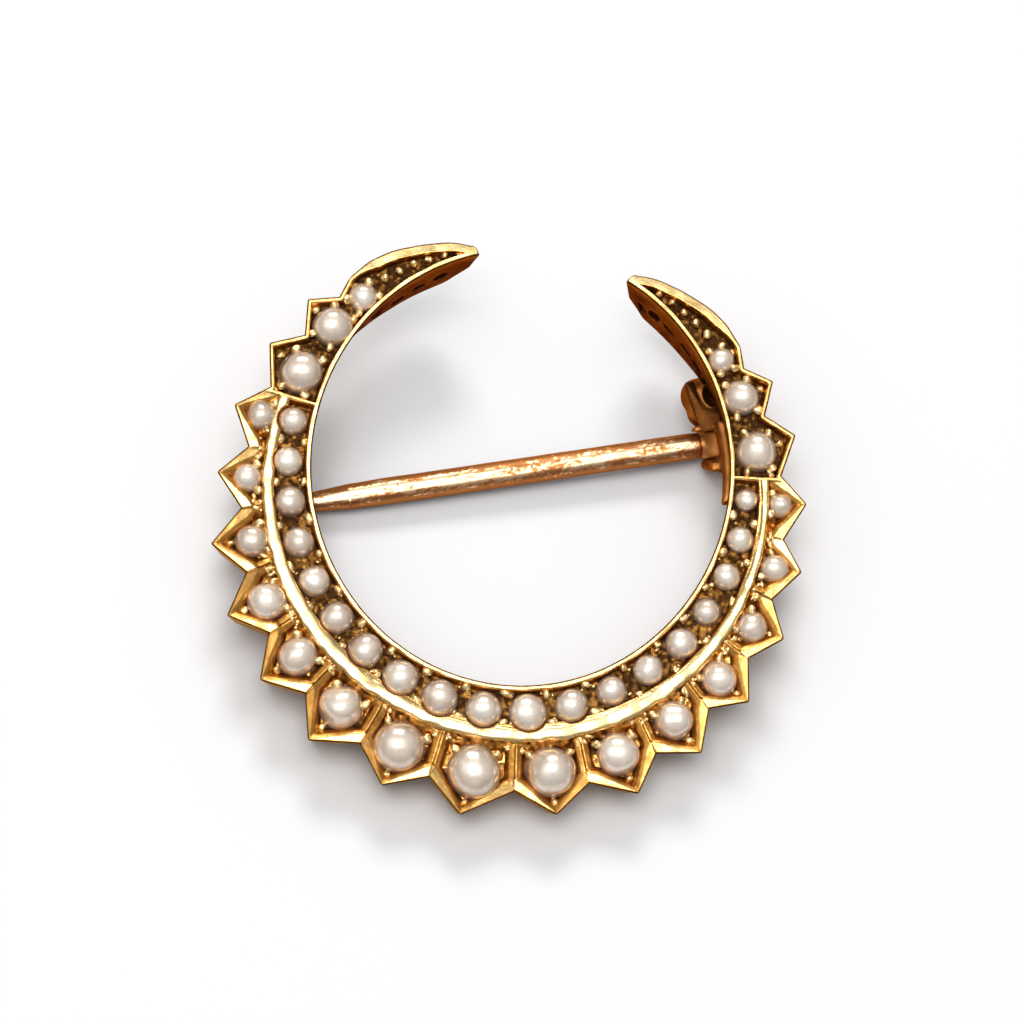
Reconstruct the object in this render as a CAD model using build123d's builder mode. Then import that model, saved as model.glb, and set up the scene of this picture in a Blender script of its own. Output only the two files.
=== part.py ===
from build123d import *
from itertools import combinations
from math import asin, cos, degrees, hypot, radians, sin
from typing import NamedTuple
import os

# Crescent, all sizes in millimetres
opening_width = 19.28
opening_height = 20.52
crescent_width = 6.2
body_depth = 2.5
pocket_depth = 0.5
setting_wall = 0.22
ridge_width = 0.55
ridge_share_bottom = 0.365
ridge_share_side = 0.285
ridge_end_shift = 1.0
horn_angle = 160.0
horn_tip_width = 0.3
horn_bevel = 0.45
point_rounding = 0.12
horn_grains = 5
horn_grain_start = 136.0
horn_grain_pitch = 4.2
horn_grain_reach = 0.95
horn_grain_narrowing = 0.11

# Pearls and the grains that hold them
middle_pearl_share = 0.4065
inner_pearl_gap = 0.25
inner_row_margin = 0.35
pearl_clearance = 0.03
seat_sink = 0.25
girdle_sink = 0.35
light_hole_share = 0.55
grain_diameter = 0.34
grain_gap = 0.05
grain_rise = 0.06
grain_turn = 3.6
point_grain_inset = 0.55

# Pin stem
stem_angle = 18.6
stem_diameter = 1.24
stem_past_catch = 1.5
stem_taper_length = 6.2
stem_neck_diameter = 1.12
stem_neck_length = 1.7
stem_point_diameter = 0.16
stem_drop = 1.6
collar_share = 0.46
hinge_inset = 0.44
hinge_rise_share = 0.182

# Hinge
knuckle_diameter = 1.7
knuckle_length = 1.3
rivet_diameter = 0.6
rivet_clearance = 0.03
hinge_side_gap = 0.05
ear_thickness = 0.5
hinge_skew = 16.0
hinge_block_length = 1.85
hinge_block_reach = 1.3
hinge_block_wall = 0.35
hinge_overlap = 0.25
hinge_pocket_depth = 1.1
hinge_plate = 0.45
hinge_plate_reach = 0.2
rivet_stand = 0.12
rivet_rounding = 0.08

# Catch
catch_past_opening = 1.42
catch_opening = 1.0
catch_strip = 0.36
catch_width = 1.4
catch_lip_angle = 36.0

# Weight's middle below the opening's centre, as a share of the opening's height
weight_drop = 0.25

middle_pearl_diameter = middle_pearl_share * crescent_width
front_face = body_depth
pocket_floor = body_depth - pocket_depth
seat_height = pocket_floor - seat_sink
girdle_height = front_face - girdle_sink
grain_height = pocket_floor + grain_rise
half_width = opening_width / 2
half_height = opening_height / 2
hinge_x = half_width - hinge_inset
hinge_y = hinge_rise_share * opening_height
catch_distance = opening_width + catch_past_opening
stem_length = catch_distance + stem_past_catch


class Setting(NamedTuple):
    """One pointed setting: angles from the middle, lengths as shares of the crescent's width."""
    angle: float
    seat: float
    left_pearl: float
    right_pearl: float
    point_angle: float
    left_point: float
    right_point: float
    valley_angle: float
    valley: float

    def sides(self):
        """Left and right, or one side alone for the middle setting."""
        return (-1, 1) if self.angle else (1,)

    def reach(self, side):
        return (self.left_point if side < 0 else self.right_point) * crescent_width


# Pearl sizes here are shares of the middle pearl's diameter
OUTER_ROW = [
    Setting(0.0, 0.660, 1.00, 1.00, -1.1, 1.000, 1.000, 7.4, 0.785),
    Setting(14.2, 0.645, 0.95, 0.94, 14.3, 0.970, 0.970, 20.6, 0.775),
    Setting(27.1, 0.625, 0.82, 0.80, 28.1, 0.976, 0.955, 33.6, 0.735),
    Setting(39.6, 0.585, 0.74, 0.72, 40.6, 0.918, 0.900, 46.3, 0.670),
    Setting(51.8, 0.555, 0.73, 0.69, 52.7, 0.875, 0.835, 58.5, 0.620),
    Setting(64.3, 0.505, 0.62, 0.59, 65.6, 0.807, 0.755, 71.2, 0.540),
    Setting(77.6, 0.470, 0.565, 0.545, 78.7, 0.694, 0.665, 84.0, 0.470),
    Setting(91.4, 0.402, 0.58, 0.47, 92.2, 0.615, 0.592, 97.8, 0.390),
]
SINGLES = [
    Setting(103.8, 0.215, 0.82, 0.78, 106.6, 0.515, 0.515, 111.9, 0.310),
    Setting(117.7, 0.172, 0.75, 0.69, 118.9, 0.440, 0.440, 124.0, 0.268),
    Setting(128.3, 0.142, 0.55, 0.50, 128.8, 0.315, 0.315, 134.7, 0.312),
]
# Inner pearls, from the middle to each end, as shares of the room between neighbours
INNER_PITCH = 10.17
INNER_LEFT = [0.97, 0.98, 0.95, 0.94, 0.90, 0.88, 0.87, 0.87, 0.84, 0.84]
INNER_RIGHT = [0.97, 0.99, 0.91, 0.84, 0.85, 0.88, 0.81, 0.79, 0.77, 0.68]
# Outer edge of the plain horn: angle, width as a share of the crescent's width
HORN_EDGE = [(139.9, 0.281), (145.2, 0.232), (150.4, 0.184), (155.3, 0.135)]


def rim_reach(angle):
    """Distance from the centre to the inner rim, at an angle from the middle point."""
    return 1 / hypot(sin(radians(angle)) / half_width, cos(radians(angle)) / half_height)


def place(angle, beyond_rim):
    """Plan position at an angle and a distance outside the inner rim."""
    reach = rim_reach(angle) + beyond_rim
    return reach * sin(radians(angle)), -reach * cos(radians(angle))


def inner_seat(step, share):
    """Radius and distance beyond the rim of an inner pearl, so many steps from the middle."""
    half_turn = sin(radians(INNER_PITCH / 2))
    start = rim_reach(step * INNER_PITCH) + inner_row_margin
    radius = share * (start * half_turn - inner_pearl_gap / 2) / (1 - share * half_turn)
    return radius, inner_row_margin + radius


class Pearl(NamedTuple):
    """A pearl in plan: node name, angle, distance beyond the rim and radius."""
    name: str
    angle: float
    beyond_rim: float
    radius: float


def mirrored_pearls(settings, names):
    """Pearls of a list of settings on both sides, with node names by side."""
    rows = []
    for index, row in enumerate(settings):
        beyond = row.seat * crescent_width
        for side in row.sides():
            share = row.left_pearl if side < 0 else row.right_pearl
            radius = share * middle_pearl_diameter / 2
            rows.append(Pearl(names(index, side), side * row.angle, beyond, radius))
    return rows


outer_pearls = mirrored_pearls(
    OUTER_ROW, lambda index, side: f"pearl_outer_{len(OUTER_ROW) + side * index:02d}"
)
single_pearls = mirrored_pearls(
    SINGLES, lambda index, side: f"pearl_{'left' if side < 0 else 'right'}_horn_{index + 1}"
)
inner_pearls = []
for side, shares in ((-1, INNER_LEFT), (1, INNER_RIGHT[1:])):
    first_step = 0 if side < 0 else 1
    for step, share in enumerate(shares, start=first_step):
        radius, beyond = inner_seat(step, share)
        name = f"pearl_inner_{len(INNER_LEFT) + side * step:02d}"
        inner_pearls.append(Pearl(name, side * step * INNER_PITCH, beyond, radius))
pearls = outer_pearls + inner_pearls + single_pearls

# Ridge between the two rows: a circle about a centre below the opening's own
ridge_bottom = half_height + ridge_share_bottom * crescent_width
ridge_side = half_width + ridge_share_side * crescent_width
ridge_radius = (ridge_bottom + ridge_side**2 / ridge_bottom) / 2
ridge_centre = (0, ridge_radius - ridge_bottom)
ridge_end_angle = (OUTER_ROW[-1].angle + SINGLES[0].angle) / 2 - ridge_end_shift
ridge_edge = ridge_width / 2 - setting_wall


def ridge_beyond_rim(angle):
    """Distance of the ridge's centre line beyond the inner rim."""
    drop = -ridge_centre[1]
    reach = drop * cos(radians(angle))
    reach += (ridge_radius**2 - (drop * sin(radians(angle))) ** 2) ** 0.5
    return reach - rim_reach(angle)


# Directions of the stem and the hinge in the crescent's own frame
stem_run = Vector(cos(radians(stem_angle)), sin(radians(stem_angle)), 0)
stem_side = Vector(-sin(radians(stem_angle)), cos(radians(stem_angle)), 0)
up = Vector(0, 0, 1)
hinge_axis = stem_side * cos(radians(hinge_skew)) + up * sin(radians(hinge_skew))
hinge_down = stem_side * sin(radians(hinge_skew)) - up * cos(radians(hinge_skew))
hinge_centre = Vector(hinge_x, hinge_y, -stem_drop)
catch_centre = hinge_centre - stem_run * catch_distance
ear_start = knuckle_length / 2 + hinge_side_gap
ear_end = ear_start + ear_thickness
block_end = ear_end + hinge_block_length
catch_outer = catch_opening / 2 + catch_strip


def plan_point(angle, beyond_rim, height):
    x, y = place(angle, beyond_rim)
    return Vector(x, y, height)


def corner_points():
    """Outermost corners, on which the brooch can come to rest."""
    corners = []
    for row in OUTER_ROW + SINGLES:
        for side in row.sides():
            corners.append(plan_point(side * row.point_angle, row.reach(side), 0))
    for side in (-1, 1):
        corners.append(plan_point(side * horn_angle, horn_tip_width, 0))
    for along in (-ear_end, block_end):
        for height in (0.0, 1.0):
            outward = hinge_down * (knuckle_diameter / 2)
            corners.append(hinge_centre + hinge_axis * along + outward * height)
    lip = radians(catch_lip_angle)
    lip_corner = (stem_side * -sin(lip) - up * cos(lip)) * catch_outer
    for along in (-catch_width / 2, catch_width / 2):
        corners.append(catch_centre + stem_run * along + lip_corner)
    return corners


def resting_normal(corners, centroid):
    """Floor's upward normal, in the crescent's frame, for a brooch lying on its back."""
    for first, second, third in combinations(corners, 3):
        normal = (second - first).cross(third - first)
        if normal.length < 1e-6:
            continue
        normal = normal.normalized() * (1 if normal.Z > 0 else -1)
        if normal.Z < 0.7 or min((corner - first).dot(normal) for corner in corners) < -1e-6:
            continue
        foot = centroid - normal * (centroid - first).dot(normal)
        turns = []
        for start, end in ((first, second), (second, third), (third, first)):
            turns.append((end - start).cross(foot - start).dot(normal) > 0)
        if len(set(turns)) == 1:
            return normal
    raise ValueError("the brooch has no stable rest on its back")


corners = corner_points()
centroid = Vector(0, -weight_drop * opening_height, body_depth / 2)
floor_up = resting_normal(corners, centroid)
row_x = (Vector(1, 0, 0) - floor_up * floor_up.X).normalized()
row_y = floor_up.cross(row_x)


def to_row(vector):
    """Turn a direction of the crescent's frame into the part's frame."""
    return Vector(vector.dot(row_x), vector.dot(row_y), vector.dot(floor_up))


horn_edges = [plan_point(side * angle, share * crescent_width, 0)
              for angle, share in HORN_EDGE for side in (-1, 1)]
back_corners = [corner for corner in corners if corner.Z == 0] + horn_edges
front_corners = [corner + up * front_face for corner in back_corners]
turned = [to_row(corner) for corner in corners + horn_edges + front_corners]
origin = Vector(
    -(min(corner.X for corner in turned) + max(corner.X for corner in turned)) / 2,
    -(min(corner.Y for corner in turned) + max(corner.Y for corner in turned)) / 2,
    -min(corner.Z for corner in turned),
)


def plane_at(point, x_axis, z_axis):
    """Plane of the part's frame from a point and two directions of the crescent's frame."""
    return Plane(origin + to_row(point), x_dir=to_row(x_axis), z_dir=to_row(z_axis))


def crescent_plane(height):
    return plane_at(Vector(0, 0, height), Vector(1, 0, 0), up)


back = crescent_plane(0)


def outline_points(side):
    """Points and valleys of one side, from the middle out to the horn's shoulder."""
    points = []
    for row in OUTER_ROW + SINGLES:
        if side in row.sides():
            points.append(place(side * row.point_angle, row.reach(side)))
        points.append(place(side * row.valley_angle, row.valley * crescent_width))
    return points


def horn_points(side, inset=0.0):
    """Outer edge of one horn, from its shoulder to its tip."""
    shoulder = SINGLES[-1]
    points = [place(side * shoulder.valley_angle, shoulder.valley * crescent_width - inset)]
    for angle, share in HORN_EDGE:
        points.append(place(side * angle, share * crescent_width - inset))
    points.append(place(side * horn_angle, horn_tip_width - inset))
    return points


tips = [place(side * row.point_angle, row.reach(side))
        for row in OUTER_ROW + SINGLES[:-1] for side in row.sides()]


def is_point(vertex):
    """Whether a corner of the plan is the tip of a setting."""
    return min(hypot(vertex.X - x, vertex.Y - y) for x, y in tips) < 1e-3


# Plan of the crescent, with its zig-zag edge, horns and opening
with BuildSketch(back) as outline:
    with BuildLine():
        Polyline(*reversed(outline_points(-1)), *outline_points(1))
        Spline(*horn_points(1))
        Polyline(horn_points(1)[-1], (0, 0), horn_points(-1)[-1])
        Spline(*horn_points(-1))
    make_face()
    Ellipse(half_width, half_height, mode=Mode.SUBTRACT)
    fillet(outline.vertices().filter_by(is_point), point_rounding)
    fillet(outline.vertices().group_by(Axis.Y)[-1], point_rounding)

# Sunk pockets of the pointed settings, one for each outer pearl
with BuildSketch(crescent_plane(front_face)) as setting_pockets:
    start_angle, start_valley = -OUTER_ROW[0].valley_angle, OUTER_ROW[0].valley
    for row in OUTER_ROW:
        for side in row.sides():
            with BuildLine():
                Polyline(
                    place(side * start_angle, ridge_beyond_rim(start_angle) + ridge_edge),
                    place(side * start_angle, start_valley * crescent_width),
                    place(side * row.point_angle, row.reach(side)),
                    place(side * row.valley_angle, row.valley * crescent_width),
                    place(side * row.valley_angle, ridge_beyond_rim(row.valley_angle) + ridge_edge),
                    close=True,
                )
            cell = make_face(mode=Mode.PRIVATE)
            offset(cell, amount=-setting_wall, kind=Kind.INTERSECTION, mode=Mode.ADD)
        start_angle, start_valley = row.valley_angle, row.valley

# Sunk channel of the inner row, between the rim and the ridge
with BuildSketch(crescent_plane(front_face)) as row_channel:
    with Locations(ridge_centre):
        Circle(ridge_radius - ridge_width / 2)
    Ellipse(half_width + setting_wall, half_height + setting_wall, mode=Mode.SUBTRACT)
    with BuildLine():
        far_corners = [place(side * ridge_end_angle, crescent_width) for side in (1, -1)]
        Polyline((0, 0), far_corners[0], (half_width, 2 * opening_height),
                 (-half_width, 2 * opening_height), far_corners[1], close=True)
    make_face(mode=Mode.SUBTRACT)

# Sunk channels of the three single pearls and the plain horn at each end
with BuildSketch(crescent_plane(front_face)) as horn_channels:
    for side in (-1, 1):
        edge = [place(side * OUTER_ROW[-1].valley_angle, OUTER_ROW[-1].valley * crescent_width)]
        for row in SINGLES[:-1]:
            edge.append(place(side * row.point_angle, row.reach(side)))
            edge.append(place(side * row.valley_angle, row.valley * crescent_width))
        shoulder = SINGLES[-1]
        edge.append(place(side * shoulder.point_angle, shoulder.reach(side)))
        with BuildLine():
            Polyline(
                (0, 0),
                place(side * ridge_end_angle, ridge_beyond_rim(ridge_end_angle)),
                *edge,
                *horn_points(side, horn_bevel - setting_wall),
                close=True,
            )
        cell = make_face(mode=Mode.PRIVATE)
        offset(cell, amount=-setting_wall, kind=Kind.INTERSECTION, mode=Mode.ADD)
    Ellipse(half_width + setting_wall, half_height + setting_wall, mode=Mode.SUBTRACT)

# Round seats for the pearls, and the smaller light holes behind them
with BuildSketch(crescent_plane(seat_height)) as seats:
    for pearl in pearls:
        with Locations(place(pearl.angle, pearl.beyond_rim)):
            Circle(pearl.radius + pearl_clearance)
with BuildSketch(back) as light_holes:
    for pearl in pearls:
        with Locations(place(pearl.angle, pearl.beyond_rim)):
            Circle(pearl.radius * light_hole_share)


def clear_of_pearls(spot):
    """Whether a grain at this spot keeps its gap to every pearl."""
    for pearl in pearls:
        x, y = place(pearl.angle, pearl.beyond_rim)
        room = hypot(spot[0] - x, spot[1] - y) - pearl.radius - grain_diameter / 2
        if room < grain_gap:
            return False
    return True


def grain_spots():
    """Places of the grains in plan: between the inner pearls, round the others, down the horns."""
    spots = []
    inside = setting_wall + grain_diameter / 2
    for step in range(len(INNER_LEFT) - 1):
        angle = (step + 0.5) * INNER_PITCH
        ridge_side = ridge_beyond_rim(angle) - ridge_width / 2 - grain_diameter / 2
        spots += [place(side * angle, beyond) for side in (-1, 1) for beyond in (inside, ridge_side)]
    for row in OUTER_ROW:
        near_ridge = ridge_beyond_rim(row.angle) + ridge_width / 2 + grain_diameter / 2
        for turn in (-grain_turn, grain_turn):
            spots += [place(side * row.angle + turn, near_ridge) for side in (-1, 1)]
    for row in OUTER_ROW + SINGLES[:-1]:
        spots += [place(side * row.point_angle, row.reach(side) - point_grain_inset)
                  for side in row.sides()]
    for step in range(horn_grains):
        angle = horn_grain_start + step * horn_grain_pitch
        spots += [place(side * angle, horn_grain_reach * (1 - step * horn_grain_narrowing))
                  for side in (-1, 1)]
    kept = []
    for spot in spots:
        if all(hypot(spot[0] - x, spot[1] - y) > grain_diameter for x, y in kept):
            if clear_of_pearls(spot):
                kept.append(spot)
    return kept


def hinge_plane(along):
    """Plane square to the hinge's axis: X along the stem, Y away from the crescent's back."""
    return plane_at(hinge_centre + hinge_axis * along, stem_run, hinge_axis)


# Hinge: an ear on each side of the knuckle, the upper one drawn out into a hollow block
stem_plane = plane_at(Vector(hinge_x, hinge_y, 0), stem_run, up)
with BuildPart() as hinge_ears:
    for start, length, reach in (
        (-ear_end, ear_thickness, knuckle_diameter / 2),
        (ear_start, block_end - ear_start, hinge_block_reach),
    ):
        top = (stem_drop - start * sin(radians(hinge_skew))) / cos(radians(hinge_skew))
        with BuildSketch(hinge_plane(start)):
            Circle(knuckle_diameter / 2)
            with BuildLine():
                Polyline((-reach, -top - knuckle_diameter), (-reach, 0),
                         (knuckle_diameter / 2, 0),
                         (knuckle_diameter / 2, -top - knuckle_diameter), close=True)
            make_face()
        extrude(amount=length)
    with BuildSketch(stem_plane.offset(hinge_overlap - hinge_pocket_depth)):
        pocket_length = block_end - ear_end - hinge_block_wall
        with Locations((hinge_block_wall - hinge_block_reach, ear_end)):
            Rectangle(hinge_block_reach, pocket_length, align=Align.MIN)
    extrude(amount=hinge_pocket_depth + knuckle_diameter, mode=Mode.SUBTRACT)
    with BuildSketch(stem_plane):
        with Locations((-hinge_plate_reach, -ear_end)):
            Rectangle(hinge_plate_reach + knuckle_diameter / 2, ear_end + block_end, align=Align.MIN)
    extrude(amount=-hinge_plate)
    split(bisect_by=stem_plane.offset(hinge_overlap), keep=Keep.BOTTOM)
    with BuildSketch(hinge_plane(-ear_end)):
        Circle(rivet_diameter / 2 + rivet_clearance)
    extrude(amount=2 * ear_end + rivet_clearance, mode=Mode.SUBTRACT)

# Catch: a strip that stands on the back and curls round under the stem
catch_plane = plane_at(catch_centre, stem_side, stem_run)
with BuildPart() as catch:
    with BuildSketch(catch_plane):
        Circle(catch_outer)
        Circle(catch_opening / 2, mode=Mode.SUBTRACT)
        lip = radians(270 - catch_lip_angle)
        far = 2 * catch_outer
        with BuildLine():
            Polyline((0, 0), (-far, 0), (-far, far * sin(lip)),
                     (far * cos(lip), far * sin(lip)), close=True)
        make_face(mode=Mode.INTERSECT)
        with Locations((-catch_outer, 0)):
            Rectangle(catch_strip, stem_drop + hinge_overlap, align=Align.MIN)
    extrude(amount=catch_width / 2, both=True)

# Gold crescent with its settings, hinge ears and catch, all soldered into one
with BuildPart() as crescent:
    extrude(outline.sketch, amount=body_depth, dir=back.z_dir)
    for sunk in (setting_pockets, row_channel, horn_channels):
        extrude(sunk.sketch, amount=pocket_depth, dir=-back.z_dir, mode=Mode.SUBTRACT)
    with Locations([crescent_plane(grain_height) * Location((x, y, 0)) for x, y in grain_spots()]):
        Sphere(grain_diameter / 2)
    for holes in (light_holes, seats):
        extrude(holes.sketch, amount=body_depth, dir=back.z_dir, mode=Mode.SUBTRACT)
    add(hinge_ears.part)
    add(catch.part)

# Pin stem: a knuckle on the rivet, a collar, a straight wire and a long point
with BuildPart() as pin_stem:
    with BuildSketch(hinge_plane(-knuckle_length / 2)):
        Circle(knuckle_diameter / 2)
    extrude(amount=knuckle_length)
    with BuildSketch(plane_at(hinge_centre, stem_run * -1, up)):
        with BuildLine():
            taper_start = (stem_length - stem_taper_length, stem_diameter / 2)
            point_radius = stem_point_diameter / 2
            Polyline(
                (stem_length, 0),
                (0, 0),
                (0, knuckle_length * collar_share),
                (knuckle_diameter / 4, knuckle_length * collar_share),
                (knuckle_diameter / 2, stem_neck_diameter / 2),
                (stem_neck_length, stem_diameter / 2),
                taper_start,
            )
            tip = CenterArc((stem_length - point_radius, 0), point_radius, 0, 90)
            TangentArc(taper_start, tip @ 1, tangent=(1, 0))
        make_face()
    revolve(axis=Axis(origin + to_row(hinge_centre), to_row(stem_run)))
    with BuildSketch(hinge_plane(-knuckle_length)):
        Circle(rivet_diameter / 2 + rivet_clearance)
    extrude(amount=2 * knuckle_length, mode=Mode.SUBTRACT)

# Rivet through the ears and the knuckle
with BuildPart() as hinge_rivet:
    with BuildSketch(hinge_plane(-ear_end - rivet_stand)):
        Circle(rivet_diameter / 2)
    extrude(amount=2 * ear_end + rivet_stand)
    fillet(hinge_rivet.edges().filter_by(GeomType.CIRCLE), rivet_rounding)

os.makedirs("parts", exist_ok=True)
crescent.part.label = "crescent"
export_step(crescent.part, "parts/crescent.step")
pin_stem.part.label = "pin_stem"
export_step(pin_stem.part, "parts/pin_stem.step")
hinge_rivet.part.label = "hinge_rivet"
export_step(hinge_rivet.part, "parts/hinge_rivet.step")

# Pearls: domes above their girdle, ground flat where they sit
for pearl in pearls:
    x, y = place(pearl.angle, pearl.beyond_rim)
    below_girdle = girdle_height - seat_height - pearl_clearance
    with BuildPart(plane_at(Vector(x, y, girdle_height), Vector(1, 0, 0), up)) as pearl_bead:
        base_angle = degrees(asin(below_girdle / pearl.radius))
        Sphere(pearl.radius, arc_size1=-base_angle, align=None)
    pearl_bead.part.label = pearl.name
    export_step(pearl_bead.part, f"parts/{pearl.name}.step")
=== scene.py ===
from collections import namedtuple
from math import atan2, ceil, cos, degrees, hypot, pi, radians, sin

import bmesh
import bpy
import numpy as np
from mathutils import Matrix, Vector


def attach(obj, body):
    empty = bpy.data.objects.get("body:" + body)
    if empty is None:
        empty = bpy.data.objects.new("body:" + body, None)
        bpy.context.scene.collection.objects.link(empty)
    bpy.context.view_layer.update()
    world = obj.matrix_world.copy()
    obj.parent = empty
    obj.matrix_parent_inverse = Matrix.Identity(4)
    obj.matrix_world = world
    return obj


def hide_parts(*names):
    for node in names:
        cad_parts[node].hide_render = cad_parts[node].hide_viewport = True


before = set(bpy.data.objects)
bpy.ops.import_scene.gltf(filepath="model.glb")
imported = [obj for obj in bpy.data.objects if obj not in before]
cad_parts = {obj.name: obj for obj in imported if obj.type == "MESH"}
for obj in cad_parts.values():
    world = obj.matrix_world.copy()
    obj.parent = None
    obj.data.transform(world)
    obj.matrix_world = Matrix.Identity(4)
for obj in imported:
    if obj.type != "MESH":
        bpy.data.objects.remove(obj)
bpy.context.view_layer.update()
MM = 0.001

# The crescent's own frame in millimetres, as the CAD rests it: from the opening's centre at its back face
own_origin = Vector((0.0664, 3.3944, 2.5262))
own_up = Vector((0.0262867, -0.1538764, 0.9877404))
own_x = Vector((own_up.z, 0, -own_up.x)).normalized()
own_y = own_up.cross(own_x)
own_axes = np.array([own_x, own_y, own_up])

# Crescent sizes, the same as in the CAD source
opening_width = 19.28
opening_height = 20.52
crescent_width = 6.2
front = 2.5
ridge_share_bottom = 0.365
ridge_share_side = 0.285
horn_angle = 160.0
pearl_girdle = 2.15
middle_pearl_diameter = 2.52
inner_pearl_gap = 0.25
inner_row_margin = 0.35
half_width = opening_width / 2
half_height = opening_height / 2

# Relief sizes in millimetres, angles in degrees
pocket_depth = 0.5
pocket_slope = 0.14
rim_width = 0.21
wall_width = 0.15
point_rim = 0.10
valley_rim = 0.46
rim_tilt = 0.23
lower_rim_tilt = -0.045
facet_width = 0.30
end_wall = 0.6
bevel_width = 0.42
ridge_crown = 0.08
edge_round = 0.06
groove_width = 0.035
groove_depth = 0.08
corner_blend = 0.15
most_lean = 0.05
seat_gap = 0.07
full_polish_and_highlight = -0.34
mm_per_degree = 0.19
far_off = 9.0
horn_tip = horn_angle + 0.4

# The front's mesh, and the cut where the CAD crescent's own back meets it
grid_step = 0.05
middle_reach = half_height + 2.5
edge_steps = np.array([0.0, 0.012, 0.03, 0.06])
past_edge_steps = 0.09
full_width = 0.4
cut_height = 1.5
cut_overlap = 0.01
plane_slack = 0.02
weld_distance = 1e-7
voxel = 0.06

# Side walls: how far their rows drop, the outer one's taper and the lean of the opening's
wall_drops = np.array([0.12, 0.5, front - cut_height])
wall_taper = 0.18
most_inset = 0.35
inner_lean = 0.16
# Staining of each side wall's three rows, the inner wall foot first and the outer top first: darker towards
# the foot, painted shade over the walls' own staining.
inner_wall_stain_and_shade = (0.66, 0.58, 0.38)
outer_wall_stain_and_shade = (0.38, 0.46, 0.50)

# Horns: where they start, their extra depth at the back, and the stretch whose hollows grow along it
horns_start = 112
horn_deepening = 1.0
hollows_start, hollows_end, hollows_double = 113.0, 153, 55

# Changes round the crescent: the angle where each starts, and its run, in degrees
CHANGES = {
    "ridge steps back": (20, 45),
    "right ridge slims": (35, 40),
    "ridge slims": (55, 30),
    "rims brighten": (62, 20),
    "wall stands up": (horns_start, 25),
    "horn deepens": (126, 24),
    "right horn is lower": (130, 20),
    "horn rim widens": (130.5, 6.0),
    "horn is bevelled": (132.0, 4.0),
    "horn is drawn in": (140, 20),
    "tip is drawn in": (150, 10.4),
    "tip is blunt": (158, 2.4),
}

# The box that holds the hinge, cut out of the crescent's back
hinge_box_halves = (4.5, 4.5, 2.55)
hinge_box_centre = np.array([9.5, 4.5, -plane_slack - hinge_box_halves[2]])

# Settings: angles in degrees, pearls as shares of the middle one, seats and reaches of the crescent's width
Setting = namedtuple("Setting", ["pearl_angle", "seat", "left_pearl", "right_pearl", "point_angle",
                                 "left_reach", "right_reach", "valley_angle", "valley_reach"])
SETTINGS = [Setting(*row) for row in (
    (0.0, 0.660, 1.00, 1.00, -1.1, 1.000, 1.000, 7.4, 0.785),
    (14.2, 0.645, 0.95, 0.94, 14.3, 0.970, 0.970, 20.6, 0.775),
    (27.1, 0.625, 0.82, 0.80, 28.1, 0.976, 0.955, 33.6, 0.735),
    (39.6, 0.585, 0.74, 0.72, 40.6, 0.918, 0.900, 46.3, 0.670),
    (51.8, 0.555, 0.73, 0.69, 52.7, 0.875, 0.835, 58.5, 0.620),
    (64.3, 0.505, 0.62, 0.59, 65.6, 0.807, 0.755, 71.2, 0.540),
    (77.6, 0.470, 0.565, 0.545, 78.7, 0.694, 0.665, 84.0, 0.470),
    (91.4, 0.402, 0.58, 0.47, 92.2, 0.615, 0.592, 97.8, 0.390),
    (103.8, 0.215, 0.82, 0.78, 106.6, 0.515, 0.515, 111.9, 0.310),
    (117.7, 0.172, 0.75, 0.69, 118.9, 0.440, 0.440, 124.0, 0.268),
    (128.3, 0.142, 0.55, 0.50, 128.8, 0.315, 0.315, 134.7, 0.312),
)]
# Settings of the outer row on each side, with the middle one; the others are single, in front of the horns
outer_settings = 8
# Inner row: pitch in degrees, and how much of its room each pearl fills, from the middle one outwards
INNER_PITCH = 10.17
INNER_LEFT = [0.97, 0.98, 0.95, 0.94, 0.90, 0.88, 0.87, 0.87, 0.84, 0.84]
INNER_RIGHT = [0.97, 0.99, 0.91, 0.84, 0.85, 0.88, 0.81, 0.79, 0.77, 0.68]
# Plain horn's outer edge: angle, reach as a share of the crescent's width
HORN_EDGE = [(134.7, 0.312), (139.9, 0.281), (145.2, 0.232),
             (150.4, 0.184), (155.3, 0.135), (158.6, 0.085)]


def pearl_name(side, index):
    """Node name of the pearl in a setting of one side, counted from the middle one."""
    if index < outer_settings:
        return f"pearl_outer_{outer_settings + side * index:02d}"
    return f"pearl_{'left' if side < 0 else 'right'}_horn_{index - outer_settings + 1}"


def to_row(points):
    """Points of the crescent's frame in millimetres, as points of the row frame in metres."""
    return (np.asarray(points) @ own_axes + np.array(own_origin)) * MM


def own_points(mesh):
    """A mesh's points in the crescent's frame, in millimetres."""
    return (np.array([v.co for v in mesh.vertices]) / MM - np.array(own_origin)) @ own_axes.T


def rim_reach(angle):
    """Distance from the centre to the inner rim."""
    turn = np.radians(angle)
    return 1 / np.hypot(np.sin(turn) / half_width, np.cos(turn) / half_height)


def place(angle, beyond):
    """Plan position at an angle from the middle point and a distance outside the rim."""
    reach = rim_reach(angle) + beyond
    return np.stack([reach * np.sin(np.radians(angle)), -reach * np.cos(np.radians(angle))], -1)


def around_rim(points):
    """Angles of points from the middle point, and their distances outside the rim."""
    angles = np.degrees(np.arctan2(points[:, 0], -points[:, 1]))
    return angles, np.hypot(points[:, 0], points[:, 1]) - rim_reach(angles)


ridge_bottom = half_height + ridge_share_bottom * crescent_width
ridge_side = half_width + ridge_share_side * crescent_width
ridge_radius = (ridge_bottom + ridge_side**2 / ridge_bottom) / 2
ridge_end = 96.6


def ridge_beyond(angle):
    """Distance of the ridge's centre line beyond the rim."""
    drop = ridge_bottom - ridge_radius
    turn = np.radians(angle)
    return drop * np.cos(turn) + np.sqrt(ridge_radius**2 - (drop * np.sin(turn)) ** 2) - rim_reach(angle)


def step_up(value, width):
    """0 where value is below 0, 1 above width, smooth between."""
    t = np.clip(value / width, 0, 1)
    return t * t * (3 - 2 * t)


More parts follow.
